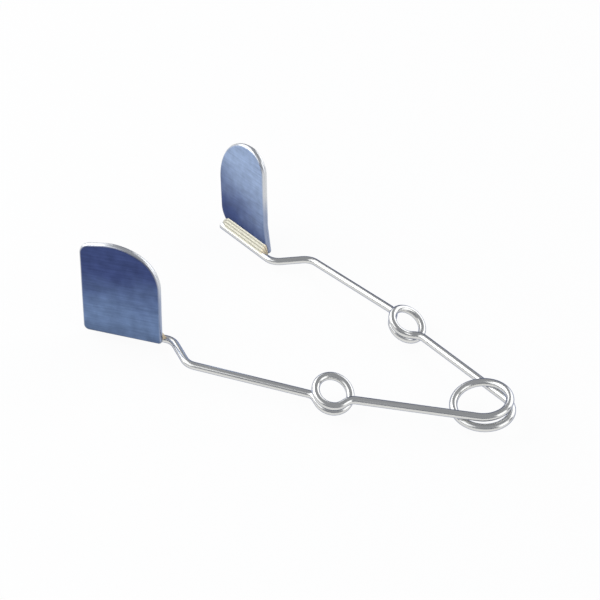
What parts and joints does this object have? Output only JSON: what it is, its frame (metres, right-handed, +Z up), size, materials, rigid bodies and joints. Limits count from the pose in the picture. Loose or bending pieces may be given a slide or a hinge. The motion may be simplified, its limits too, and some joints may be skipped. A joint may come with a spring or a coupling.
{
  "type": "cheek dilator",
  "caption": "Sprung V of round wire with a coil at the apex, a small turn along each arm and a rounded sheet blade standing at each end, for holding an animal's cheeks apart.",
  "frame": {"origin": "centre of the apex coil in plan, on the plane of the arms", "axes": "+X from the blades towards the apex coil, +Z up along the blades, +Y towards the right arm"},
  "size_m": [0.0856, 0.0508, 0.0261],
  "materials": {
    "spring_wire": "polished",
    "blade": "fine satin, with polished edges",
    "braze": "filed"
  },
  "bodies": {
    "root": {"spring_wire": "spring_wire", "left_blade": "blade", "right_blade": "blade", "left_braze": "braze", "right_braze": "braze"}
  },
  "joints": []
}
